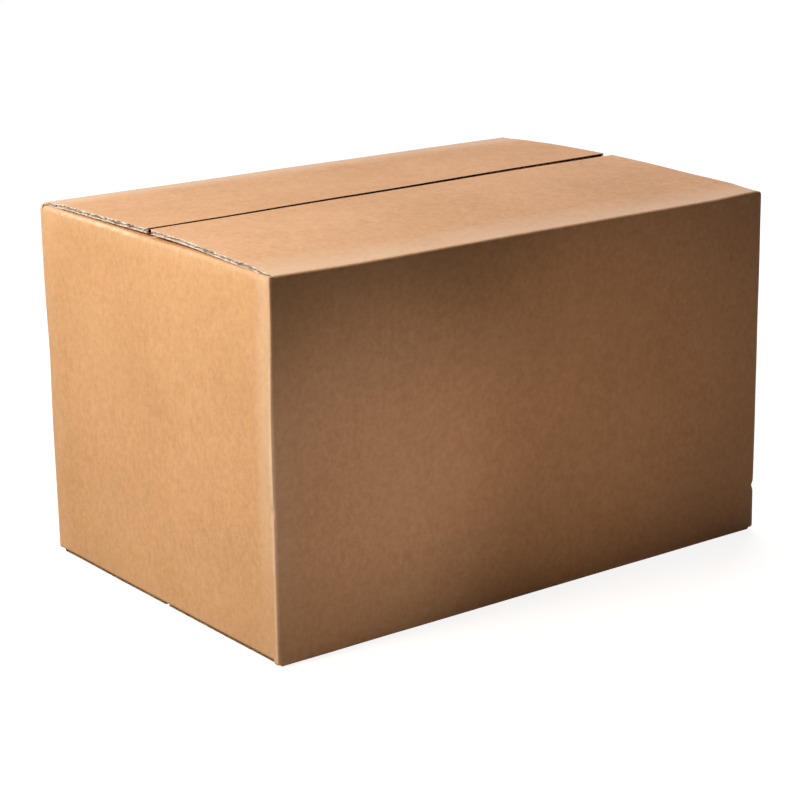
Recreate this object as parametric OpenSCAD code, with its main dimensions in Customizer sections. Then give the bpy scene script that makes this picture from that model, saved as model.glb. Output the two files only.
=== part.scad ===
// Closed corrugated carton with four flaps at the top and four at the bottom.
// Millimetres. The origin is the middle of the underside, X runs along the long walls, Z is up.

/* [Carton] */
// Outside length, along the long walls
box_l = 500; // [420:1:600]
// Outside width, across the end walls
box_w = 336; // [300:1:380]
// Height from the floor to the highest point of the closed outer flaps
box_h = 308; // [220:1:420]

/* [Board] */
// Thickness of the corrugated board
board = 4; // [3:0.1:5]
// Thickness of each flat liner
liner = 0.35; // [0.25:0.05:0.5]
// Thickness of the wavy medium between the liners
medium = 0.35; // [0.25:0.05:0.5]
// Distance from one flute crest to the next
flute_pitch = 7.8; // [6.5:0.1:9]
// Width of the flat glue line where a crest meets a liner
glue_line = 0.6; // [0.4:0.1:1]

/* [Folds] */
// Outside radius of every fold
fold_r = 4; // [3:0.1:6]
// Smallest inside radius that the board can be folded to
tight_r = 0.5; // [0.2:0.1:1]
// Width of the crushed strip beside the score of an outer flap
crush_w = 12; // [9:0.5:16]
// How much of the board's thickness the score crushes away
crush_depth = 2; // [0.5:0.1:2.4]
// How far the ends of the outer flaps stand in from the end walls
outer_inset = 5.5; // [4:0.1:8]
// How far the sides of the inner flaps stand in from the long walls
inner_inset = 5; // [4:0.1:8]
// How far the slots at the corners are cut past the scores
slot_past = 1.5; // [0.5:0.1:2.5]

/* [Closed flaps] */
// Gap between the free edges of the outer flaps at the top, at the end where X is negative
seam_near = 2; // [1:0.5:12]
// The same gap at the end where X is positive
seam_far = 9; // [1:0.5:12]
// How far the seam at the top runs off the middle at the end where X is positive
seam_shift = 18; // [-20:1:20]
// Angle at which the outer flaps spring up from the inner flaps, in degrees
flap_lift = 0.3; // [0:0.1:1.5]
// Gap between the free edges of the two outer flaps underneath
bottom_gap = 4; // [2:0.5:10]
// Length of every inner flap, from the end wall to its free edge
inner_flap = 165; // [120:1:185]
// Clearance between an outer flap and the inner flaps that it rests on
seat_gap = 0.3; // [0.2:0.1:0.6]
// Clearance between the two faces of an outer flap's fold
fold_gap = 0.3; // [0.2:0.1:0.6]

/* [Glued corner] */
// Width of the tab that is glued inside the end wall
tab_w = 35; // [25:1:50]
// How far the tab's ends stay clear of the folds above and below
tab_gap = 3; // [2:0.5:8]
// How far each end of the tab slopes back
tab_slope = 9; // [4:0.5:15]
// How far the end wall's raw edge stands back from the long wall's face
raw_edge = 1.5; // [1:0.1:3]

/* [Hidden] */
$fn = 64;
kraft = "#b98a5c";
kraft_flap = "#c39466";
// Inside radius of a fold
inside_r = max(fold_r - board, tight_r);
// How far the outer flaps reach from their folds at either end, and at most
reach_near = (box_w - seam_near) / 2;
reach_far = (box_w - seam_far) / 2;
reach_most = max(reach_near, reach_far + abs(seam_shift));
// Height of the line on which an outer flap folds
fold_z = box_h - reach_most * sin(flap_lift) - crush_depth * cos(flap_lift);
// Upper face of the closed inner flaps, one clearance below the outer flaps
inner_top = fold_z + crush_depth - board - seat_gap;
// Lower face of the bottom inner flaps, which lie on the bottom outer flaps
inner_bottom = board;
// The four corner folds end a little short of the scores, at the roots of the slots
corner_top = inner_top - slot_past;
corner_bottom = inner_bottom + slot_past;
// Height at which the curved folds take over from the flat walls
wall_top = inner_top - fold_r;
wall_bottom = inner_bottom + fold_r;
// Half of the fold's clearance, measured along either leg
mitre = fold_gap * sqrt(0.5);
// Length of the wall stub that each fold profile carries, to run well into the wall
stub = 20;
outer_len = box_l - 2 * outer_inset;
inner_wid = box_w - 2 * inner_inset;
bottom_reach = (box_w - bottom_gap) / 2;
// Board height between the liners, and the depth of one flute cell
core = board - 2 * liner;
cell = core - medium;
cell_sides = 6;

// A rectangle with its corner at the origin rounded
module eased(a, b, r) {
    translate([r, 0]) square([a - r, b]);
    translate([0, r]) square([a, b - r]);
    translate([r, r]) circle(r);
}

// Section across a fold: one leg along X, the other along Y, outer corner at the origin
module fold_section(leg_x, leg_y) {
    difference() {
        eased(leg_x, leg_y, fold_r);
        translate([board, board]) eased(leg_x, leg_y, inside_r);
    }
}

// The mitred half of a fold that belongs to the flap, with the outer corner at the origin
module flap_half(size) {
    polygon([[mitre, 0], [size, mitre - size], [size, board], [mitre, board]]);
}

// The mitred half of a fold that belongs to the wall, with the outer corner at the origin
module wall_half(size) {
    polygon([[0, -mitre], [size - mitre, -size], [0, -size]]);
}

// Plan of the four walls, with the raw edge of the end wall at the glued corner
module wall_plan() {
    difference() {
        union() {
            square([box_l - 2 * fold_r, box_w], center = true);
            square([box_l, box_w - 2 * fold_r], center = true);
            for (sx = [-1, 1], sy = [-1, 1])
                translate([sx * (box_l / 2 - fold_r), sy * (box_w / 2 - fold_r)]) circle(fold_r);
        }
        square([box_l - 2 * board, box_w - 2 * board - 2 * inside_r], center = true);
        square([box_l - 2 * board - 2 * inside_r, box_w - 2 * board], center = true);
        for (sx = [-1, 1], sy = [-1, 1])
            translate([sx * (box_l / 2 - board - inside_r), sy * (box_w / 2 - board - inside_r)])
                circle(inside_r);
        translate([box_l / 2 - board, box_w / 2 - raw_edge]) square([2 * board, 2 * raw_edge]);
        translate([box_l / 2 - board, box_w / 2]) rotate([0, 0, 180]) corner_waste(raw_edge);
    }
}

// What rounding takes off a square corner at the origin
module corner_waste(r) {
    difference() {
        translate([-r, -r]) square(2 * r);
        translate([r, r]) circle(r);
    }
}

// Tab of the glued corner, flat against the inside of the end wall
module glue_tab() {
    y_fold = box_w / 2 - board / 2;
    z_low = wall_bottom + board + tab_gap;
    z_high = wall_top - board - tab_gap;
    translate([box_l / 2 - 2 * board, 0, 0])
        rotate([90, 0, 90])
            linear_extrude(board + raw_edge / 3)
                polygon([
                    [y_fold, z_low],
                    [y_fold, z_high],
                    [y_fold - tab_w, z_high - tab_slope],
                    [y_fold - tab_w, z_low + tab_slope]
                ]);
}

// One flute cell: flat on the liner, with the other side following the wave
module flute_cell() {
    span = flute_pitch - glue_line;
    polygon([
        for (i = [0 : cell_sides])
            [span * (i / cell_sides - 0.5), -cell * (1 - cos(360 * i / cell_sides)) / 2]
    ]);
}

// Section of the corrugated board across its flutes, from the outer face down
module corrugated_section(width) {
    half_count = ceil(width / flute_pitch / 2);
    difference() {
        translate([-width / 2, -board]) square([width, board]);
        for (i = [-half_count : half_count]) {
            translate([i * flute_pitch, -liner]) flute_cell();
            translate([(i + 0.5) * flute_pitch, liner - board]) mirror([0, 1]) flute_cell();
        }
    }
}

// Top of an end wall, its fold and its inner flap, at the end where X is negative
module inner_top_flap() {
    translate([-box_l / 2, inner_wid / 2, inner_top])
        rotate([90, 0, 0])
            linear_extrude(inner_wid)
                mirror([0, 1]) fold_section(crush_w, stub);
    translate([crush_w - box_l / 2, 0, inner_top])
        rotate([90, 0, 90])
            linear_extrude(inner_flap - crush_w)
                corrugated_section(inner_wid);
}

// Foot of an end wall, its fold and its inner flap, at the end where X is negative
module inner_bottom_flap() {
    translate([-box_l / 2, inner_wid / 2, inner_bottom])
        rotate([90, 0, 0])
            linear_extrude(inner_wid)
                fold_section(inner_flap, stub);
}

// Foot of a long wall, its fold and its outer flap, on the side where Y is negative
module outer_bottom_flap() {
    translate([-outer_len / 2, -box_w / 2, 0])
        rotate([90, 0, 90])
            linear_extrude(outer_len)
                fold_section(bottom_reach, stub);
}

// Top of a long wall up to the fold of its outer flap, on the side where Y is negative
module long_wall_top() {
    translate([-outer_len / 2, -box_w / 2, fold_z])
        rotate([90, 0, 90])
            linear_extrude(outer_len)
                intersection() {
                    mirror([0, 1]) fold_section(stub, stub);
                    wall_half(stub);
                }
}

// Both ends of a thing made for the end where X is negative
module both_ends() {
    children();
    mirror([1, 0, 0]) children();
}

// Both sides of a thing made for the side where Y is negative
module both_sides() {
    children();
    mirror([0, 1, 0]) children();
}

// One folded sheet: four walls, two inner top flaps, four bottom flaps and the glued tab
module carton_sheet() {
    color(kraft)
        union() {
            translate([0, 0, wall_bottom])
                linear_extrude(wall_top - wall_bottom)
                    wall_plan();
            translate([0, 0, corner_bottom])
                linear_extrude(corner_top - corner_bottom)
                    intersection() {
                        wall_plan();
                        for (sx = [-1, 1], sy = [-1, 1])
                            translate([sx * (box_l - outer_inset) / 2, sy * (box_w - inner_inset) / 2])
                                square([outer_inset, inner_inset], center = true);
                    }
            glue_tab();
            both_ends() inner_top_flap();
            both_ends() inner_bottom_flap();
            both_sides() outer_bottom_flap();
            both_sides() long_wall_top();
        }
}

// Section of the crushed strip beside the score, thin at the fold and full at the panel
module crushed_section() {
    intersection() {
        union() {
            translate([0, crush_depth - board]) square([fold_r, board - crush_depth]);
            polygon([[fold_r, 0], [crush_w, crush_depth], [crush_w, crush_depth - board], [fold_r, crush_depth - board]]);
        }
        union() {
            translate([fold_r, -board]) square([crush_w, board + crush_depth]);
            translate([fold_r, -fold_r]) circle(fold_r);
        }
        flap_half(crush_w + board);
    }
}

// Plan of the fluted panel, from the crushed strip to the free edge at the seam
module panel_plan(shift) {
    polygon([
        [-outer_len / 2, crush_w],
        [outer_len / 2, crush_w],
        [outer_len / 2, reach_far + shift],
        [-outer_len / 2, reach_near]
    ]);
}

// Outer top flap on the side where Y is negative, sprung up by its lift
module outer_top_flap(shift) {
    translate([0, -box_w / 2, fold_z])
        rotate([flap_lift, 0, 0]) {
            translate([-outer_len / 2, 0, 0])
                rotate([90, 0, 90])
                    linear_extrude(outer_len)
                        crushed_section();
            intersection() {
                translate([0, crush_w, crush_depth])
                    rotate([90, 0, 0])
                        mirror([0, 0, 1])
                            linear_extrude(reach_most)
                                corrugated_section(outer_len);
                translate([0, 0, -board]) linear_extrude(2 * board) panel_plan(shift);
            }
        }
}

module outer_flap_front() {
    color(kraft_flap) outer_top_flap(seam_shift);
}

module outer_flap_back() {
    color(kraft_flap) mirror([0, 1, 0]) outer_top_flap(-seam_shift);
}

carton_sheet();
outer_flap_front();
outer_flap_back();
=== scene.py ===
import math

import bmesh
import bpy
from mathutils import Matrix, Vector, noise


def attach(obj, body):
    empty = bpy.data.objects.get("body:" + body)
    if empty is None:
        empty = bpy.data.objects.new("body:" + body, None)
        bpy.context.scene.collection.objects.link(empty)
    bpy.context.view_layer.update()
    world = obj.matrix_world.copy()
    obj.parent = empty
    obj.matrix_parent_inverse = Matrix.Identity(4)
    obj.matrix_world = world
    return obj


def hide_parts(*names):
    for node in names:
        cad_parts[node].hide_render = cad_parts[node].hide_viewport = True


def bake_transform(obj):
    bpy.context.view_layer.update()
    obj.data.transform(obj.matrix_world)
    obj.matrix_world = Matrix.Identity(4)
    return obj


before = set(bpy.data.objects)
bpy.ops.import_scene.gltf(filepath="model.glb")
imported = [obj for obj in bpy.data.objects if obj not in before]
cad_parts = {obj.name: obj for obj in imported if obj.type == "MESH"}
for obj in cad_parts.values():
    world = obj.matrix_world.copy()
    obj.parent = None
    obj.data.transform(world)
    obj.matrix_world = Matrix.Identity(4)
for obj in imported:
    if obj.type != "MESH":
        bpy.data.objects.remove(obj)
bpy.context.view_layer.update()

# Sizes of the carton, in metres, as in the frame
LENGTH = 0.500
WIDTH = 0.336
HEIGHT = 0.308
HALF_L = LENGTH / 2
HALF_W = WIDTH / 2
# Outside radius of a fold, and thickness of the walls' solid board, just under the nominal 4 mm
FOLD = 0.004
BOARD = 0.0039
# The fluted board of the four top flaps
FLUTED = 0.004
LINER = 0.00035
MEDIUM = 0.0003
FLUTE_PITCH = 0.0078
FLUTE_SIDES = 10
# Where the slots between the flaps start, from the ends and from the long sides
OUTER_INSET = 0.0055
INNER_INSET = 0.005
# Flap length from the outside of the wall, and the strip beside the score that is pressed thin
INNER_FLAP = 0.165
CRUSH = 0.012
CRUSH_DEPTH = 0.002
# Inside a pressed crease the board turns more tightly than at an ordinary fold
CREASE_TURN = 0.0024
# The seam of the closed outer flaps opens and runs off the middle towards the far end
LIFT = math.radians(0.3)
SEAM_NEAR = 0.002
SEAM_FAR = 0.009
SEAM_SHIFT = 0.018
REACH_NEAR = (WIDTH - SEAM_NEAR) / 2
REACH_FAR = (WIDTH - SEAM_FAR) / 2
# How far the front and the back flap's free edges are worn back at the near and the far end of the seam
SEAM_WORN = {-1: (-0.0004, 0.0006), 1: (0.0022, 0.0006)}
# Height of the outer flaps' folds, of the inner flaps' upper faces under them, and where the lid begins
FOLD_Z = HEIGHT - (REACH_FAR + SEAM_SHIFT) * math.sin(LIFT) - CRUSH_DEPTH * math.cos(LIFT)
INNER_TOP = FOLD_Z + CRUSH_DEPTH - FLUTED - 0.0003
LID_LEVEL = 0.29
# The straight part of the walls, between the folds of the end walls
WALL_FOOT = 0.008
WALL_HEAD = INNER_TOP - FOLD
# Glued corner: the end wall stops short of the long one's face, and the tab turns in behind it
RAW_EDGE = 0.0015
TAB = 0.035
TAB_GAP = 0.0002
TAB_TURN = 0.0016
# The tab's parts, as length and how much of its height is kept
TAB_STEPS = ((0.003, 0.966), (TAB - 0.003, 0.94))
# Half of the seam between the outer bottom flaps
FOOT_SEAM = 0.002
# How far each corner fold rises past the slot roots, and how much of its width it keeps
CORNER_STEPS = ((0.0018, 1.0), (0.0016, 0.96), (0.0012, 0.88), (0.0006, 0.72))
# How far it drops past the lower slot roots; the two front corners sit almost on the floor
SLOT_FOOT = 0.0025
FOOT_STEPS = ((0.0016, 1.0), (0.0009, 0.93), (0.0006, 0.82))
# Knocks on the two front uprights: which end, height, half height and depth
NICKS = ((-1, 0.125, 0.0045, 0.0011), (1, 0.0405, 0.0028, 0.0013))
# Spacing of the cross lines that let the sheet and the fluted boards sag
SHEET_GRID = 0.012
BOARD_GRID = 0.0115
# Torn lips on the side edges: their width, the spacing of their points, and their heights in the board
LIP_WIDTH = 0.0016
LIP_TEAR = 0.0014
LIP_LEVELS = (-0.0005, -0.0035)
# White in what the camera sees of the floor: near the carton the light on it adds the rest, so a shadow shows
FLOOR_NEAR = 0.88
FLOOR_FAR = 1.0


# Handling pieces

def select_nothing():
    if bpy.context.object and bpy.context.object.mode != "OBJECT":
        bpy.ops.object.mode_set(mode="OBJECT")
    bpy.ops.object.select_all(action="DESELECT")


def hold(piece):
    select_nothing()
    piece.select_set(True)
    bpy.context.view_layer.objects.active = piece


def edit(piece, kind="EDGE"):
    hold(piece)
    bpy.ops.object.mode_set(mode="EDIT")
    bpy.ops.mesh.select_mode(type=kind)
    bpy.ops.mesh.select_all(action="DESELECT")


def done():
    bpy.ops.object.mode_set(mode="OBJECT")


def pick_edges(piece, test):
    bpy.ops.mesh.select_all(action="DESELECT")
    mesh = bmesh.from_edit_mesh(piece.data)
    for edge in mesh.edges:
        if test(edge, (edge.verts[0].co + edge.verts[1].co) / 2):
            edge.select_set(True)
    bmesh.update_edit_mesh(piece.data)


def pick_faces(piece, test):
    bpy.ops.mesh.select_all(action="DESELECT")
    mesh = bmesh.from_edit_mesh(piece.data)
    for face in mesh.faces:
        if test(face, face.calc_center_median()):
            face.select_set(True)
    bmesh.update_edit_mesh(piece.data)


def at_level(edge, level):
    return all(abs(vert.co.z - level) < 1e-5 for vert in edge.verts)


def extrude(x=0, y=0, z=0):
    bpy.ops.mesh.extrude_region_move(TRANSFORM_OT_translate={"value": (x, y, z)})


def resize(x, y, z, centre):
    bpy.ops.transform.resize(value=(x, y, z), center_override=centre)


def roll_edge(count, degrees, centre, axis):
    # Rolls the picked edges over; the spin tool counts its angle the other way round
    bpy.ops.mesh.spin(steps=count, angle=-math.radians(degrees), center=centre, axis=axis)


def new_grid(name, columns, rows, scale, place, turn=(0, 0, 0)):
    select_nothing()
    bpy.ops.mesh.primitive_grid_add(x_subdivisions=columns, y_subdivisions=rows, size=1, location=place)
    piece = bpy.context.object
    piece.name = name
    piece.rotation_euler = turn
    piece.scale = scale
    settle(piece)
    return piece


def settle(piece):
    hold(piece)
    bpy.ops.object.transform_apply(location=True, rotation=True, scale=True)


def apply_all(piece):
    hold(piece)
    for modifier in list(piece.modifiers):
        bpy.ops.object.modifier_apply(modifier=modifier.name)


def thicken(piece, thickness, offset=-1.0, rim_slot=0):
    skin = piece.modifiers.new("board", "SOLIDIFY")
    skin.thickness = thickness
    skin.offset = offset
    skin.use_even_offset = True
    skin.use_quality_normals = True
    skin.material_offset_rim = rim_slot
    apply_all(piece)


def smooth(piece, angle=35):
    hold(piece)
    bpy.ops.object.shade_smooth_by_angle(angle=math.radians(angle))


def score_grid(piece, axis, stops):
    normal = [0.0, 0.0, 0.0]
    normal[axis] = 1.0
    edit(piece)
    for stop in stops:
        at = [0.0, 0.0, 0.0]
        at[axis] = stop
        bpy.ops.mesh.select_all(action="SELECT")
        bpy.ops.mesh.bisect(plane_co=at, plane_no=normal)
    done()


def steps(low, high, gap):
    count = max(1, round((high - low) / gap))
    return [low + (high - low) * i / count for i in range(1, count)]


def ease(t):
    t = min(1.0, max(0.0, t))
    return t * t * (3 - 2 * t)


# The small ways in which the carton isn't square

# How far the front fold is pressed down at the near end, and how far inwards that reaches
FRONT_SAG = 0.0052
FRONT_SAG_REACH = 0.135
# Its changes along the front: how much, from which X and over what length
FRONT_SAG_CHANGES = (
    (0.0012, -0.25, 0.08),
    (-0.0005, -0.12, 0.14),
    (0.0004, 0.08, 0.07),
    (-0.0014, 0.19, 0.05),
)
# Dips pressed into the tops of the ends: which end, how deep, at which Y, how wide, and in which parts
END_DIPS = (
    (-1, 0.0012, -0.02, 0.05, "sheet"),
    (1, 0.0017, -0.07, 0.05, "both"),
    (1, 0.0011, 0.135, 0.03, "both"),
    (1, 0.0005, -0.01, 0.04, "lid"),
)
END_DIP_REACH = 0.13
# Uneven depths: the usual one, how much it wanders, how often, and the seed of the noise
END_BELLY = (0.0011, 0.0005, 7, 3.1)
SIDE_BELLY = (0.0014, 0.0007, 5, 8.7)
END_WAVE = (0.0002, 0.0003, 22, 1.7)
SIDE_WAVE = (0.0002, 0.0003, 18, 5.2)
LID_WAVE = (0.0003, 0.0003, 9, 6.6)
FREE_EDGE_CUT = (0.0003, 0.0003, 260, 2.4)
SIDE_EDGE_CUT = (0.0003, 0.0003, 180, 7.9)
LIP_SWELL = (0.0005, 0.0008, 340, 4.4)
# How far the near end leans in at the top of its front corner
NEAR_LEAN = 0.0024
# How far its back corner has been knocked in all along, how much more at one place, and that height
BACK_KNOCK = 0.0005
BACK_KNOCK_DENT = 0.0010
BACK_KNOCK_Z = 0.18
# The inner flaps hang down by a step beside their folds and by a slope from there
DROOP_STEP = 0.0012
DROOP_SLOPE = 0.012


def hump(value, centre, half):
    return math.exp(-((value - centre) / half) ** 2)


def wander(x, y, z, size, seed):
    # Kept within 1, which a few points of the noise overstep by far
    value = noise.noise(Vector((x * size + seed, y * size - seed, z * size + 2.3 * seed)))
    return min(1.0, max(-1.0, value))


def uneven(depths, x, y, z):
    usual, change, size, seed = depths
    return usual + change * wander(x, y, z, size, seed)


def front_sag(x, y):
    along = FRONT_SAG
    for change, start, length in FRONT_SAG_CHANGES:
        along += change * ease((x - start) / length)
    if x < -HALF_L + OUTER_INSET:
        # The near corner fold beside it gives way less
        along *= 0.8
    return along * (1 - ease((y + HALF_W) / FRONT_SAG_REACH))


def end_sag(x, y, lid):
    # Both ends have been pressed down a little, the lid most where its seam is widest
    sag = 0.0
    for way, depth, centre, half, part in END_DIPS:
        if part != ("sheet" if lid else "lid"):
            sag += depth * hump(y, centre, half) * (1 - ease((HALF_L - way * x) / END_DIP_REACH))
    return sag


def lean(co, lid=False):
    x, y, z = co
    dx = dy = dz = 0.0
    # How much a point belongs to an end or a long side, and how near it is to the middle of that wall
    end = min(1.0, abs(x) / HALF_L) ** 8
    side = min(1.0, abs(y) / HALF_W) ** 8
    across = 1 - min(1.0, abs(y) / HALF_W) ** 2
    along = 1 - min(1.0, abs(x) / HALF_L) ** 2
    up = 1 - (2 * z / HEIGHT - 1) ** 2 if 0 < z < HEIGHT else 0.0
    # The walls belly in a little between their folds
    dx -= math.copysign(uneven(END_BELLY, 0, y, z) * end * across * up, x)
    dy -= math.copysign(uneven(SIDE_BELLY, x, 0, z) * side * along * up, y)
    # Slight waves that run through the whole sheet
    dx -= math.copysign(end * uneven(END_WAVE, x, y, z), x)
    dy -= math.copysign(side * uneven(SIDE_WAVE, x, y, z), y)
    # The front fold has been pressed down and rolled
    dz -= (front_sag(x, y) + end_sag(x, y, lid)) * ease((z - 0.235) / 0.06)
    # Beside the front the near end leans in towards its top, and at the back it has been knocked in
    if x < 0:
        dx += NEAR_LEAN * end * ease((z - 0.19) / 0.08) * (1 - ease((y + HALF_W) / 0.10))
        knock = BACK_KNOCK + BACK_KNOCK_DENT * hump(z, BACK_KNOCK_Z, 0.03)
        dx += end * ease((y - 0.06) / 0.10) * knock
    for end_side, height, half, depth in NICKS:
        away = Vector((x - end_side * HALF_L, y + HALF_W)).length
        dent = depth * hump(z, height, half) * hump(away, 0.0, 0.005)
        dx -= end_side * 0.7 * dent
        dy += 0.7 * dent
    # The closed top is not quite flat
    if z > LID_LEVEL:
        dz -= uneven(LID_WAVE, x, y, 0)
    return Vector((x + dx, y + dy, z + dz))


def warp(piece, lid=False):
    for vertex in piece.data.vertices:
        vertex.co = lean(vertex.co, lid)
    piece.data.update()


# The folded sheet: walls, folds, bottom flaps and the glued tab

def make_folded_sheet():
    low, high = WALL_FOOT, WALL_HEAD
    middle = (low + high) / 2
    select_nothing()
    bpy.ops.mesh.primitive_cube_add(size=1, location=(0, 0, middle))
    sheet = bpy.context.object
    sheet.name = "folded_sheet"
    sheet.scale = (LENGTH, WIDTH, high - low)
    settle(sheet)
    edit(sheet, "FACE")
    pick_faces(sheet, lambda face, mid: abs(face.normal.z) > 0.5)
    bpy.ops.mesh.delete(type="FACE")
    done()

    def upright(mid):
        return abs(mid.z - middle) < 0.01

    def border(edge, level):
        return edge.is_boundary and at_level(edge, level)

    # Three corners fold, the fourth is glued
    edit(sheet)
    pick_edges(sheet, lambda edge, mid: upright(mid) and not (mid.x > 0 and mid.y > 0))
    bpy.ops.mesh.bevel(offset=FOLD, segments=6, profile=0.72, affect="EDGES")
    pick_edges(sheet, lambda edge, mid: upright(mid) and mid.x > HALF_L - 0.001 and mid.y > HALF_W - 0.001)
    bpy.ops.mesh.edge_split(type="EDGE")
    done()
    fold_x = HALF_L - BOARD - TAB_GAP - TAB_TURN
    for face in sheet.data.polygons:
        for index in face.vertices:
            co = sheet.data.vertices[index].co
            if co.x > HALF_L - 1e-4 and co.y > HALF_W - 1e-4:
                if face.normal.y > 0.5:
                    co.x = fold_x
                else:
                    co.y = HALF_W - RAW_EDGE
    edit(sheet)
    pick_edges(sheet, lambda edge, mid: upright(mid) and abs(mid.x - fold_x) < 1e-5 and mid.y > HALF_W - 1e-4)
    roll_edge(4, -90, (fold_x, HALF_W - TAB_TURN, 0), (0, 0, 1))
    for reach, keep in TAB_STEPS:
        extrude(y=-reach)
        resize(1, 1, keep, (0, 0, middle))
    done()

    # Lines at which the slots between the flaps start
    score_grid(sheet, 0, [-HALF_L + OUTER_INSET, HALF_L - OUTER_INSET])
    score_grid(sheet, 1, [-HALF_W + INNER_INSET, HALF_W - INNER_INSET])

    edit(sheet)
    for way in (-1, 1):

        def on_end(edge, mid, level):
            return border(edge, level) and mid.x * way > HALF_L - 1e-4 and abs(mid.y) < HALF_W - INNER_INSET

        def on_side(edge, mid, level):
            return border(edge, level) and mid.y * way > HALF_W - 1e-4 and abs(mid.x) < HALF_L - OUTER_INSET

        # End wall: fold over at the top, then a crushed strip that carries the fluted inner flap
        pick_edges(sheet, lambda edge, mid: on_end(edge, mid, high))
        roll_edge(6, 90 * way, (way * (HALF_L - FOLD), 0, high), (0, -1, 0))
        extrude(x=-way * (CRUSH - FOLD))
        # End wall: fold under at the foot, with the whole inner flap
        pick_edges(sheet, lambda edge, mid: on_end(edge, mid, low))
        roll_edge(6, 90 * way, (way * (HALF_L - FOLD), 0, low), (0, 1, 0))
        extrude(x=-way * (INNER_FLAP - FOLD))
        # Long wall: up to its fold, and under with the outer bottom flap
        pick_edges(sheet, lambda edge, mid: on_side(edge, mid, high))
        extrude(z=FOLD_Z - FOLD - high)
        pick_edges(sheet, lambda edge, mid: on_side(edge, mid, low))
        extrude(z=-FOLD)
        roll_edge(6, 90 * way, (0, way * (HALF_W - FOLD), low - FOLD), (-1, 0, 0))
        extrude(y=-way * (HALF_W - FOLD - FOOT_SEAM))

    # Corner folds stand up between the slots, and the closed flaps have knocked their tops in
    for way_x, way_y in ((-1, -1), (1, -1), (-1, 1)):
        axis = (way_x * (HALF_L - FOLD), way_y * (HALF_W - FOLD))

        def in_corner(edge, mid, level):
            near = mid.x * way_x > HALF_L - OUTER_INSET and mid.y * way_y > HALF_W - INNER_INSET
            return near and border(edge, level)

        pick_edges(sheet, lambda edge, mid: in_corner(edge, mid, high))
        level = high
        for rise, keep in CORNER_STEPS:
            extrude(z=rise)
            level += rise
            resize(keep, keep, 1, (*axis, level))
        pick_edges(sheet, lambda edge, mid: in_corner(edge, mid, low))
        extrude(z=-SLOT_FOOT)
        level = low - SLOT_FOOT
        for drop, keep in FOOT_STEPS if way_y < 0 else ():
            extrude(z=-drop)
            level -= drop
            resize(keep, keep, 1, (*axis, level))
    done()

    score_grid(sheet, 0, steps(-HALF_L + OUTER_INSET, HALF_L - OUTER_INSET, SHEET_GRID))
    score_grid(sheet, 1, steps(-HALF_W + INNER_INSET, HALF_W - INNER_INSET, SHEET_GRID))
    score_grid(sheet, 2, steps(low, high, SHEET_GRID))
    for _, height, half, _ in NICKS:
        score_grid(sheet, 2, [height + half * part for part in (-1.8, -0.9, -0.3, 0.3, 0.9, 1.8)])
    edit(sheet, "FACE")
    bpy.ops.mesh.select_all(action="SELECT")
    bpy.ops.mesh.remove_doubles(threshold=1e-6)
    done()
    return sheet


def open_cut_edges(piece, slot, width=0.0005, depth=0.0013):
    # The middle of every cut edge is torn back a little behind the two liners
    edit(piece, "FACE")
    pick_faces(
        piece,
        lambda face, mid: face.material_index == slot
        and (abs(mid.x) < HALF_L - OUTER_INSET or abs(mid.y) < HALF_W - INNER_INSET),
    )
    bpy.ops.mesh.inset(thickness=width, depth=-depth, use_even_offset=False)
    done()


# The thin crushed crease between a long wall and its outer flap

def make_crease(name, way):
    # A tall upright grid lends its upper edge to the crease, and goes when the crease is made
    top = FOLD_Z - FOLD
    across = LENGTH - 2 * OUTER_INSET
    crease = new_grid(name, 41, 1, (across, 1, 1), (0, way * HALF_W, top - 0.5), (math.radians(90), 0, 0))
    edit(crease)
    pick_edges(crease, lambda edge, mid: at_level(edge, top))
    extrude(z=FOLD - CREASE_TURN)
    roll_edge(8, 90 * way, (0, way * (HALF_W - CREASE_TURN), FOLD_Z - CREASE_TURN), (1, 0, 0))
    extrude(y=way * (CREASE_TURN - FOLD))
    pick_faces(crease, lambda face, mid: mid.z < top - 0.01)
    bpy.ops.mesh.delete(type="FACE")
    done()
    edit(crease, "FACE")
    bpy.ops.mesh.select_all(action="SELECT")
    bpy.ops.mesh.normals_make_consistent(inside=False)
    done()
    return crease


# Fluted board

def flat_liner(name, across, along, height, rows):
    columns = round(across / BOARD_GRID)
    liner = new_grid(name, columns, rows, (across, along, 1), (0, along / 2, height))
    thicken(liner, LINER, offset=0.0)
    return liner


def wavy_medium(name, across, along, height, rows):
    # One flute is shaped, then repeated and trimmed to the flap
    medium = new_grid(name, FLUTE_SIDES, rows, (FLUTE_PITCH, along, 1), (0, along / 2, height))
    rise = (FLUTED - 2 * LINER - MEDIUM) / 2
    for vertex in medium.data.vertices:
        vertex.co.z += rise * math.cos(2 * math.pi * vertex.co.x / FLUTE_PITCH)
    half = math.ceil(across / FLUTE_PITCH / 2)
    medium.location.x = -half * FLUTE_PITCH
    settle(medium)
    repeat = medium.modifiers.new("flutes", "ARRAY")
    repeat.count = 2 * half + 1
    repeat.use_relative_offset = False
    repeat.use_constant_offset = True
    repeat.constant_offset_displace = (FLUTE_PITCH, 0, 0)
    repeat.use_merge_vertices = True
    repeat.merge_threshold = 1e-5
    apply_all(medium)
    trim = across / 2 - 0.0004
    edit(medium)
    bpy.ops.mesh.select_all(action="SELECT")
    bpy.ops.mesh.bisect(plane_co=(trim, 0, 0), plane_no=(1, 0, 0), clear_outer=True)
    bpy.ops.mesh.select_all(action="SELECT")
    bpy.ops.mesh.bisect(plane_co=(-trim, 0, 0), plane_no=(1, 0, 0), clear_inner=True)
    done()
    thicken(medium, MEDIUM, offset=0.0)
    return medium


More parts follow.
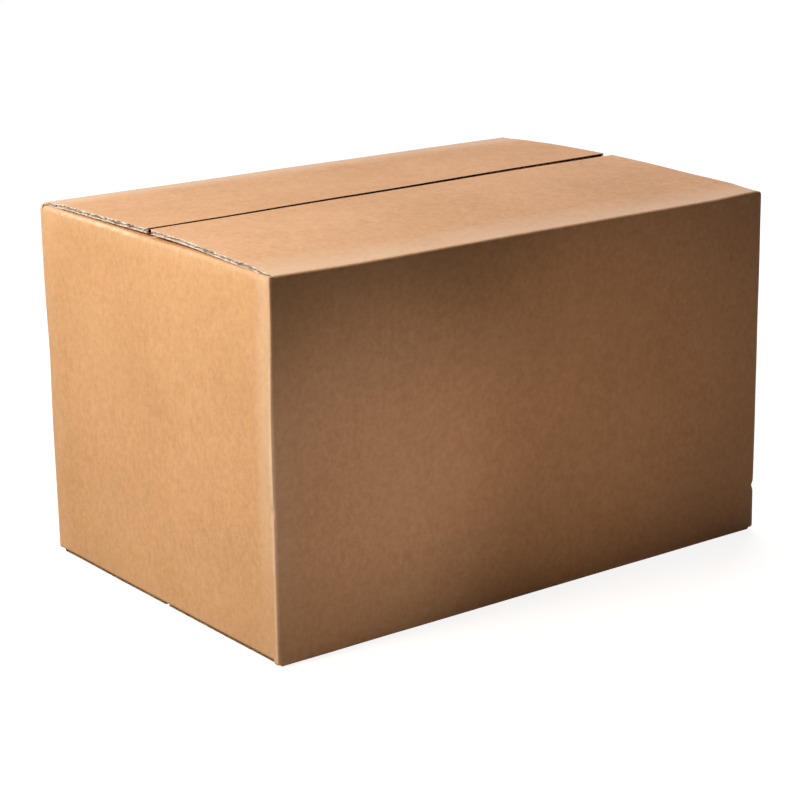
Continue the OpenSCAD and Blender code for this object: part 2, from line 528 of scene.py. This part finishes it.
def torn_lip(name, along, height, seed):
    # The knife leaves a liner's edge as a swollen, ragged lip of pale fibre
    lip = new_grid(name, 2, round(along / LIP_TEAR), (LIP_WIDTH, along, 1), (0, along / 2, height))
    thicken(lip, LINER, offset=0.0)
    outer = height > -FLUTED / 2
    for vertex in lip.data.vertices:
        x, y, z = vertex.co
        # Pressed flat against the face, it swells only towards the flutes
        swell = uneven(LIP_SWELL, seed, y, 0) + 0.0004 * wander(seed, y, 0, 90, 9.2)
        if z < height and outer:
            z -= max(0.0, swell)
        elif z > height and not outer:
            z += max(0.0, swell)
        if x > 0:
            x += 0.0003 * wander(seed, y, 0, 420, 1.3)
        vertex.co = (x, y, z)
    return lip


def add_torn_lips(board, across, along, paper):
    lips = []
    along -= 0.001
    for way in (-1, 1):
        for height in LIP_LEVELS:
            lip = torn_lip("torn_lip", along, height, way * 3.7 + height * 900)
            lip.data.materials.append(paper)
            if way < 0:
                lip.rotation_euler = (0, 0, math.pi)
                lip.location.y = along
            lip.location.x = way * (across / 2 - LIP_WIDTH / 2 + 0.0001)
            settle(lip)
            lips.append(lip)
    return join(board.name, [board] + lips)


def join(name, pieces):
    select_nothing()
    for piece in pieces:
        piece.select_set(True)
    bpy.context.view_layer.objects.active = pieces[0]
    bpy.ops.object.join()
    whole = bpy.context.object
    whole.name = name
    return whole


def make_fluted_board(name, across, along, finishes):
    # Lies flat with its outer face at height 0, its fold along X and its free edge at Y = along
    rows = round(along / BOARD_GRID)
    parts = [
        flat_liner(name + "_outer", across, along, -LINER / 2, rows),
        wavy_medium(name + "_medium", across, along, -FLUTED / 2, rows),
        flat_liner(name + "_inner", across, along, LINER / 2 - FLUTED, rows),
    ]
    for part, finish in zip(parts, finishes):
        part.data.materials.append(finish)
    return add_torn_lips(join(name, parts), across, along, finishes[3])


def fray(piece, free_edge, across):
    # Cut edges are never quite straight: each flute and liner ends a hair short or long
    for vertex in piece.data.vertices:
        x, y, z = vertex.co
        if y > free_edge - 0.0015:
            vertex.co.y -= uneven(FREE_EDGE_CUT, x, 0, z)
        if abs(x) > across / 2 - 0.0012:
            vertex.co.x -= math.copysign(uneven(SIDE_EDGE_CUT, 0, y, z * 20), x)


def make_outer_flap(name, way, finishes):
    across = LENGTH - 2 * OUTER_INSET
    start = FOLD
    along = REACH_NEAR - start
    flap = make_fluted_board(name, across, along, finishes)
    fray(flap, along, across)
    for vertex in flap.data.vertices:
        x, y, z = vertex.co
        # The free edge follows the seam, which opens and runs off the middle towards one end
        part = (x * -way + across / 2) / across
        reach = REACH_NEAR + (REACH_FAR - SEAM_SHIFT * way - REACH_NEAR) * part
        reach -= SEAM_WORN[way][0] * (1 - part) + SEAM_WORN[way][1] * part
        y = start + y * (reach - start) / along
        # Beside the score the board is crushed thin, and it rises as it comes away from the fold
        full = 0.5 + 0.5 * ease((y - start) / CRUSH)
        rise = CRUSH_DEPTH * ease((y - start) / 0.030)
        z = z * full + rise
        vertex.co = (x, y, z)
    flap.rotation_euler = (LIFT, 0, 0 if way < 0 else math.pi)
    flap.location = (0, way * HALF_W, FOLD_Z)
    settle(flap)
    return flap


def make_inner_flap(name, way, finishes):
    across = WIDTH - 2 * INNER_INSET
    start = CRUSH
    flap = make_fluted_board(name, across, INNER_FLAP - start, finishes)
    fray(flap, INNER_FLAP - start, across)
    flap.rotation_euler = (0, 0, way * math.pi / 2)
    flap.location = (way * (HALF_L - start), 0, INNER_TOP)
    settle(flap)
    return flap


def droop_inner_flap(piece):
    # The inner flaps hang in a little from their folds
    for vertex in piece.data.vertices:
        x, y, z = vertex.co
        inward = HALF_L - OUTER_INSET - abs(x)
        if z > LID_LEVEL and inward > 0 and abs(y) < HALF_W - INNER_INSET + 0.0005:
            vertex.co.z -= DROOP_STEP * ease(inward / 0.01) + DROOP_SLOPE * inward


# Finishes

def shader_group(name, inputs, outputs):
    group = bpy.data.node_groups.new(name, "ShaderNodeTree")
    for label, kind, value in inputs:
        socket = group.interface.new_socket(name=label, in_out="INPUT", socket_type=kind)
        if value is not None:
            socket.default_value = value
    for label, kind in outputs:
        group.interface.new_socket(name=label, in_out="OUTPUT", socket_type=kind)
    return group, group.nodes.new("NodeGroupInput"), group.nodes.new("NodeGroupOutput")


def maths(tree, operation, first, second=None, third=None, clamp=False):
    node = tree.nodes.new("ShaderNodeMath")
    node.operation = operation
    node.use_clamp = clamp
    for socket, value in zip(node.inputs, (first, second, third)):
        if value is None:
            continue
        if isinstance(value, (int, float)):
            socket.default_value = value
        else:
            tree.links.new(value, socket)
    return node.outputs[0]


def grain(tree, coordinates, scale, detail=4.0, roughness=0.6):
    node = tree.nodes.new("ShaderNodeTexNoise")
    node.inputs["Scale"].default_value = scale
    node.inputs["Detail"].default_value = detail
    node.inputs["Roughness"].default_value = roughness
    tree.links.new(coordinates, node.inputs["Vector"])
    return node.outputs["Fac"]


def spread(tree, value, low, high, to_low=0.0, to_high=1.0):
    node = tree.nodes.new("ShaderNodeMapRange")
    node.interpolation_type = "SMOOTHSTEP"
    node.inputs["From Min"].default_value = low
    node.inputs["From Max"].default_value = high
    node.inputs["To Min"].default_value = to_low
    node.inputs["To Max"].default_value = to_high
    tree.links.new(value, node.inputs["Value"])
    return node.outputs["Result"]


def paper_fibre_group():
    group, given, out = shader_group(
        "paper fibre",
        [("Position", "NodeSocketVector", None), ("Streaks", "NodeSocketVector", (1, 1, 1))],
        [("Shade", "NodeSocketFloat"), ("Flecks", "NodeSocketFloat"), ("Height", "NodeSocketFloat")],
    )
    place = given.outputs["Position"]
    along = group.nodes.new("ShaderNodeVectorMath")
    along.operation = "MULTIPLY"
    group.links.new(place, along.inputs[0])
    group.links.new(given.outputs["Streaks"], along.inputs[1])
    cloudy = grain(group, place, 9, 3, 0.5)
    blotch = grain(group, along.outputs[0], 85, 2, 0.5)
    mottle = grain(group, along.outputs[0], 210, 3, 0.6)
    fine = grain(group, along.outputs[0], 800, 2, 0.6)
    fibre = grain(group, place, 1900, 2, 0.5)
    shade = maths(group, "MULTIPLY_ADD", cloudy, 0.6, -0.30)
    for layer, part in ((blotch, 0.35), (mottle, 0.80), (fine, 0.70)):
        shade = maths(group, "MULTIPLY_ADD", maths(group, "SUBTRACT", layer, 0.5), part, shade)
    group.links.new(shade, out.inputs["Shade"])
    group.links.new(spread(group, fine, 0.70, 0.80), out.inputs["Flecks"])
    height = maths(group, "MULTIPLY_ADD", fibre, 0.4, maths(group, "MULTIPLY", mottle, 0.6))
    group.links.new(height, out.inputs["Height"])
    return group


def fold_distance_group():
    # Distance in metres from the nearest fold line of the carton, measured over its faces
    group, given, out = shader_group(
        "distance from folds",
        [("Position", "NodeSocketVector", None), ("Level", "NodeSocketFloat", INNER_TOP)],
        [(label, "NodeSocketFloat") for label in ("Upright folds", "End folds", "Long folds")],
    )
    parts = group.nodes.new("ShaderNodeSeparateXYZ")
    group.links.new(given.outputs["Position"], parts.inputs[0])
    to_end = maths(group, "SUBTRACT", HALF_L, maths(group, "ABSOLUTE", parts.outputs["X"]))
    to_side = maths(group, "SUBTRACT", HALF_W, maths(group, "ABSOLUTE", parts.outputs["Y"]))
    to_lid = maths(group, "ABSOLUTE", maths(group, "SUBTRACT", given.outputs["Level"], parts.outputs["Z"]))
    to_foot = maths(group, "ABSOLUTE", parts.outputs["Z"])
    to_level = maths(group, "MINIMUM", to_lid, to_foot)
    group.links.new(maths(group, "ADD", to_end, to_side), out.inputs["Upright folds"])
    group.links.new(maths(group, "ADD", to_end, to_level), out.inputs["End folds"])
    group.links.new(maths(group, "ADD", to_side, to_level), out.inputs["Long folds"])
    return group


def edge_wear_and_highlight_group():
    # Pale paper beside a fold, partly rubbed and partly painted highlight where the rounded fold catches the
    # light: a broken narrow line inside a wide soft band
    group, given, out = shader_group(
        "fold rubbing and painted highlight",
        [
            ("Position", "NodeSocketVector", None),
            ("Distance", "NodeSocketFloat", 1.0),
            ("Line reach", "NodeSocketFloat", 0.0035),
            ("Band reach", "NodeSocketFloat", 0.03),
        ],
        [("Line", "NodeSocketFloat"), ("Band", "NodeSocketFloat")],
    )
    torn = grain(group, given.outputs["Position"], 130, 5, 0.7)
    away = maths(group, "DIVIDE", given.outputs["Distance"], given.outputs["Line reach"])
    away = maths(group, "MULTIPLY_ADD", maths(group, "SUBTRACT", torn, 0.5), 1.4, away)
    group.links.new(spread(group, away, 0.55, 1.15, 1.0, 0.0), out.inputs["Line"])
    soft = grain(group, given.outputs["Position"], 24, 3, 0.6)
    wide = maths(group, "DIVIDE", given.outputs["Distance"], given.outputs["Band reach"])
    wide = maths(group, "MULTIPLY_ADD", maths(group, "SUBTRACT", soft, 0.5), 0.5, wide)
    group.links.new(spread(group, wide, 0.2, 1.0, 1.0, 0.0), out.inputs["Band"])
    return group


def flute_rib_group():
    # The flutes show through the liner as the faintest of ribs, uneven along their length
    group, given, out = shader_group(
        "flute ribs",
        [("Across", "NodeSocketFloat", 0.0), ("Position", "NodeSocketVector", None)],
        [("Height", "NodeSocketFloat")],
    )
    turns = maths(group, "MULTIPLY", given.outputs["Across"], 2 * math.pi / FLUTE_PITCH)
    wave = maths(group, "SINE", turns)
    patchy = spread(group, grain(group, given.outputs["Position"], 14, 2, 0.5), 0.35, 0.65, 0.2, 1.0)
    group.links.new(maths(group, "MULTIPLY", wave, patchy), out.inputs["Height"])
    return group


PAPER_FIBRE = paper_fibre_group()
FOLD_DISTANCE = fold_distance_group()
EDGE_WEAR_AND_HIGHLIGHT = edge_wear_and_highlight_group()
FLUTE_RIBS = flute_rib_group()


def place_group(tree, group, **links):
    node = tree.nodes.new("ShaderNodeGroup")
    node.node_tree = group
    for label, value in links.items():
        socket = node.inputs[label]
        if isinstance(value, (int, float, tuple)):
            socket.default_value = value
        else:
            tree.links.new(value, socket)
    return node


def blend_colours(tree, amount, first, second):
    node = tree.nodes.new("ShaderNodeMix")
    node.data_type = "RGBA"
    for label, value in (("Factor", amount), ("A", first), ("B", second)):
        if isinstance(value, tuple):
            node.inputs[label].default_value = value
        else:
            tree.links.new(value, node.inputs[label])
    return node.outputs["Result"]


def new_material(name, roughness):
    material = bpy.data.materials.new(name)
    material.use_nodes = True
    tree = material.node_tree
    shader = tree.nodes["Principled BSDF"]
    shader.inputs["Roughness"].default_value = roughness
    shader.inputs["Specular IOR Level"].default_value = 0.25
    position = tree.nodes.new("ShaderNodeTexCoord").outputs["Object"]
    return material, tree, shader, position


def bump(tree, shader, layers):
    # Each layer is (height, strength, distance in metres)
    normal = None
    for height, strength, distance in layers:
        node = tree.nodes.new("ShaderNodeBump")
        node.inputs["Strength"].default_value = strength
        node.inputs["Distance"].default_value = distance
        tree.links.new(height, node.inputs["Height"])
        if normal is not None:
            tree.links.new(normal, node.inputs["Normal"])
        normal = node.outputs["Normal"]
    tree.links.new(normal, shader.inputs["Normal"])


# Rubbing and painted highlight beside each kind of fold: how far its line and its band reach, and how pale
# each is
FOLD_WEAR_AND_HIGHLIGHT = (
    ("Upright folds", 0.0036, 0.030, 0.35, 0.08),
    ("End folds", 0.0036, 0.020, 0.70, 0.10),
    ("Long folds", 0.0046, 0.050, 0.12, 0.0),
)
LID_FOLD_WEAR_AND_HIGHLIGHT = FOLD_WEAR_AND_HIGHLIGHT[:2] + (("Long folds", 0.0046, 0.050, 0.30, 0.38),)
# One end wall has been rubbed along the corner by which it is carried: its strip fades out between
# these distances from the front, between these X at which the end wall ends, and towards its foot
RUBBED = 0.22
RUBBED_WIDTH = (0.008, 0.024)
RUBBED_X = (-0.2472, -0.2460)
RUBBED_FOOT = (0.035, 0.120)


def kraft_liner(name, paper, streaks, rib_axis, rubbing_and_highlight=1.0, level=INNER_TOP, lid=False):
    colour, pale, dark = paper
    material, tree, shader, position = new_material(name, 0.82)
    fibre = place_group(tree, PAPER_FIBRE, Position=position, Streaks=streaks)
    folds = place_group(tree, FOLD_DISTANCE, Position=position, Level=level)
    tone = spread(tree, fibre.outputs["Shade"], -0.50, 0.50)
    surface_colour = blend_colours(tree, tone, dark, colour)
    surface_colour = blend_colours(tree, maths(tree, "MULTIPLY", fibre.outputs["Flecks"], 0.30), surface_colour, dark)
    parts = tree.nodes.new("ShaderNodeSeparateXYZ")
    tree.links.new(position, parts.inputs[0])
    # On the lid a wide pale band, partly rubbing and partly painted highlight, starts at the fold and doesn't
    # run down the wall
    inward = maths(tree, "SUBTRACT", HALF_W, maths(tree, "ABSOLUTE", parts.outputs["Y"]))
    on_lid = spread(tree, inward, 0.0006, 0.003)
    # Pale marks beside the folds: partly rubbed paper, partly painted highlight along the lit side of each
    # fold
    for label, line_reach, band_reach, line_part, band_part in LID_FOLD_WEAR_AND_HIGHLIGHT if lid else FOLD_WEAR_AND_HIGHLIGHT:
        edge = place_group(
            tree, EDGE_WEAR_AND_HIGHLIGHT, Position=position, Distance=folds.outputs[label],
            **{"Line reach": line_reach, "Band reach": band_reach},
        )
        amount = maths(tree, "MULTIPLY", edge.outputs["Band"], band_part * rubbing_and_highlight)
        if lid and label == "Long folds":
            amount = maths(tree, "MULTIPLY", amount, on_lid)
        amount = maths(tree, "MULTIPLY_ADD", edge.outputs["Line"], line_part * rubbing_and_highlight, amount, clamp=True)
        surface_colour = blend_colours(tree, amount, surface_colour, pale)
    if rib_axis == "walls":
        strip = spread(tree, maths(tree, "ADD", parts.outputs["Y"], HALF_W), *RUBBED_WIDTH, 1.0, 0.0)
        strip = maths(tree, "MULTIPLY", strip, spread(tree, parts.outputs["X"], *RUBBED_X, 1.0, 0.0))
        strip = maths(tree, "MULTIPLY", strip, spread(tree, parts.outputs["Z"], *RUBBED_FOOT))
        surface_colour = blend_colours(tree, maths(tree, "MULTIPLY", strip, RUBBED), surface_colour, pale)
        # Of X and Y only one runs across the flutes of each wall, the other is constant there
        across = maths(tree, "ADD", parts.outputs["X"], parts.outputs["Y"])
    else:
        across = parts.outputs[rib_axis]
    tree.links.new(surface_colour, shader.inputs["Base Color"])
    ribs = place_group(tree, FLUTE_RIBS, Across=across, Position=position)
    rough = spread(tree, fibre.outputs["Shade"], -0.5, 0.5, 0.90, 0.76)
    tree.links.new(rough, shader.inputs["Roughness"])
    bump(tree, shader, [(fibre.outputs["Height"], 0.35, 0.0004), (ribs.outputs["Height"], 0.25, 0.00012)])
    return material


def cut_board(name, colour, dark):
    # Raw edge of the board: fuzzy, grey-brown, lighter where the liners end
    material, tree, shader, position = new_material(name, 0.95)
    fuzz = grain(tree, position, 900, 5, 0.75)
    patches = grain(tree, position, 120, 4, 0.6)
    mixed = maths(tree, "MULTIPLY_ADD", patches, 0.6, maths(tree, "MULTIPLY", fuzz, 0.4))
    shade = blend_colours(tree, spread(tree, mixed, 0.35, 0.62), dark, colour)
    tree.links.new(shade, shader.inputs["Base Color"])
    bump(tree, shader, [(fuzz, 0.8, 0.0006)])
    return material


KRAFT = (0.740, 0.415, 0.213, 1)
KRAFT_DARK = (0.560, 0.292, 0.136, 1)
KRAFT_PALE = (0.860, 0.640, 0.450, 1)
INSIDE = (0.560, 0.330, 0.170, 1)
INSIDE_DARK = (0.470, 0.262, 0.130, 1)

OUTSIDE_PAPER = (KRAFT, KRAFT_PALE, KRAFT_DARK)
INSIDE_PAPER = (INSIDE, INSIDE, INSIDE_DARK)

wall_liner = kraft_liner("kraft_wall_liner", OUTSIDE_PAPER, (1.05, 1.05, 0.9), "walls")
lid_liner = kraft_liner("kraft_lid_liner", OUTSIDE_PAPER, (1.05, 0.95, 1.05), "X", level=FOLD_Z, lid=True)
inner_flap_liner = kraft_liner("kraft_inner_flap_liner", OUTSIDE_PAPER, (0.8, 1.2, 1.2), "Y")
inside_liner = kraft_liner("kraft_inside_liner", INSIDE_PAPER, (1.2, 0.8, 1.2), "X", rubbing_and_highlight=0.0)
# Its dark patches are deeper than torn fibre alone: partly painted shade, so the cut edge seen down the
# narrow seam between the outer flaps looks dark
medium_paper = cut_board("fluting_medium", (0.46, 0.36, 0.28, 1), (0.14, 0.10, 0.07, 1))
torn_paper = cut_board("torn_paper_edge", (0.88, 0.80, 0.75, 1), (0.36, 0.27, 0.21, 1))
cut_edge = cut_board("cut_board_edge", (0.66, 0.50, 0.36, 1), (0.40, 0.26, 0.15, 1))


# Building the carton

sheet = make_folded_sheet()
for finish in (wall_liner, cut_edge):
    sheet.data.materials.append(finish)
thicken(sheet, BOARD, rim_slot=1)
open_cut_edges(sheet, 1)
droop_inner_flap(sheet)
warp(sheet)
smooth(sheet)

inner_flaps = []
for name, way in (("inner_flap_near", -1), ("inner_flap_far", 1)):
    flap = make_inner_flap(name, way, (inner_flap_liner, medium_paper, inside_liner, torn_paper))
    droop_inner_flap(flap)
    warp(flap)
    smooth(flap)
    inner_flaps.append(flap)

creases = []
for name, way in (("front_crease", -1), ("back_crease", 1)):
    crease = make_crease(name, way)
    crease.data.materials.append(lid_liner)
    thicken(crease, CRUSH_DEPTH)
    warp(crease)
    smooth(crease)
    creases.append(crease)

outer_flaps = []
for name, way in (("outer_flap_front_board", -1), ("outer_flap_back_board", 1)):
    flap = make_outer_flap(name, way, (lid_liner, medium_paper, inside_liner, torn_paper))
    warp(flap, lid=True)
    smooth(flap)
    outer_flaps.append(flap)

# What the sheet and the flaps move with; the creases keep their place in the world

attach(sheet, "carton")
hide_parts("carton_sheet")
for flap in inner_flaps:
    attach(flap, "carton")
for crease, side, way in zip(creases, ("front", "back"), (-1, 1)):
    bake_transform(crease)
for flap, side in zip(outer_flaps, ("front", "back")):
    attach(flap, side + "_flap")
    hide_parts("outer_flap_" + side)


# Floor, light and camera

def straight_look(tree):
    # 1 for rays that show the background directly or in a reflection
    rays = tree.nodes.new("ShaderNodeLightPath")
    direct = maths(tree, "MAXIMUM", rays.outputs["Is Camera Ray"], rays.outputs["Is Glossy Ray"])
    return maths(tree, "MAXIMUM", direct, rays.outputs["Is Transmission Ray"])


def make_floor():
    select_nothing()
    bpy.ops.mesh.primitive_plane_add(size=30, location=(0, 0, 0))
    floor = bpy.context.object
    floor.name = "floor"
    material = bpy.data.materials.new("white_floor")
    material.use_nodes = True
    tree = material.node_tree
    tree.nodes.remove(tree.nodes["Principled BSDF"])
    matt = tree.nodes.new("ShaderNodeBsdfDiffuse")
    matt.inputs["Color"].default_value = (0.40, 0.35, 0.30, 1)
    white = tree.nodes.new("ShaderNodeEmission")
    both = tree.nodes.new("ShaderNodeAddShader")
    away = tree.nodes.new("ShaderNodeVectorMath")
    away.operation = "LENGTH"
    tree.links.new(tree.nodes.new("ShaderNodeTexCoord").outputs["Object"], away.inputs[0])
    amount = spread(tree, away.outputs["Value"], 0.6, 1.6, FLOOR_NEAR, FLOOR_FAR)
    tree.links.new(maths(tree, "MULTIPLY", straight_look(tree), amount), white.inputs["Strength"])
    tree.links.new(matt.outputs[0], both.inputs[0])
    tree.links.new(white.outputs[0], both.inputs[1])
    tree.links.new(both.outputs[0], tree.nodes["Material Output"].inputs["Surface"])
    floor.data.materials.append(material)


def place_lamp(data, place, aim, power, colour):
    data.energy = power
    data.color = colour
    lamp = bpy.data.objects.new(data.name, data)
    lamp.location = place
    lamp.rotation_euler = (Vector(aim) - Vector(place)).to_track_quat("-Z", "Y").to_euler()
    bpy.context.collection.objects.link(lamp)


def soft_box(name, place, size, power, colour):
    data = bpy.data.lights.new(name, "AREA")
    data.size = size
    place_lamp(data, place, (0, 0, 0.15), power, colour)


def soft_spot(name, place, aim, cone, power, colour):
    data = bpy.data.lights.new(name, "SPOT")
    data.spot_size = math.radians(cone)
    data.spot_blend = 1.0
    data.shadow_soft_size = 0.05
    place_lamp(data, place, aim, power, colour)


def make_world():
    world = bpy.data.worlds.new("studio")
    bpy.context.scene.world = world
    world.use_nodes = True
    tree = world.node_tree
    seen = tree.nodes.new("ShaderNodeBackground")
    seen.inputs["Color"].default_value = (1, 1, 1, 1)
    light = tree.nodes["Background"]
    light.inputs["Color"].default_value = (0.95, 0.97, 1.0, 1)
    light.inputs["Strength"].default_value = 0.01
    choose = tree.nodes.new("ShaderNodeMixShader")
    tree.links.new(straight_look(tree), choose.inputs[0])
    tree.links.new(light.outputs[0], choose.inputs[1])
    tree.links.new(seen.outputs[0], choose.inputs[2])
    tree.links.new(choose.outputs[0], tree.nodes["World Output"].inputs["Surface"])


# The camera as fitted to the visible corners of the carton, with its focal length in picture widths
CAMERA_PLACE = (-1.113553, -1.478156, 0.654161)
CAMERA_RIGHT = Vector((0.797774, -0.602763, -0.015288))
CAMERA_FORWARD = Vector((0.576386, 0.769815, -0.274160))
CAMERA_FOCAL = 2260.758 / 800


def make_camera():
    data = bpy.data.cameras.new("camera")
    camera = bpy.data.objects.new("camera", data)
    bpy.context.collection.objects.link(camera)
    data.sensor_width = 36
    data.lens = data.sensor_width * CAMERA_FOCAL
    data.clip_end = 50
    up = CAMERA_RIGHT.cross(CAMERA_FORWARD)
    turn = Matrix((CAMERA_RIGHT, up, -CAMERA_FORWARD)).transposed()
    camera.matrix_world = Matrix.Translation(CAMERA_PLACE) @ turn.to_4x4()
    bpy.context.scene.camera = camera


make_floor()
make_world()
soft_box("key", (-1.1, 0.0, 0.9), 0.3, 15.4, (1.0, 0.985, 0.89))
soft_box("far_top", (0.6, 0.5, 1.9), 0.8, 24.6, (0.79, 0.81, 0.97))
# The front lies in shade, with a soft pool of light on its near half
soft_spot("front_left", (-0.35, -1.67, 0.25), (-0.17, -HALF_W, 0.13), 14, 22.5, (1.0, 0.91, 0.94))
soft_spot("front_middle", (-0.15, -1.67, 0.25), (0.0, -HALF_W, 0.15), 15, 6.8, (1.0, 0.79, 0.62))
soft_spot("front_right", (-0.05, -1.67, 0.25), (0.12, -HALF_W, 0.16), 17, 9.6, (1.0, 0.77, 0.67))
make_camera()
bpy.context.scene.view_settings.view_transform = "Standard"
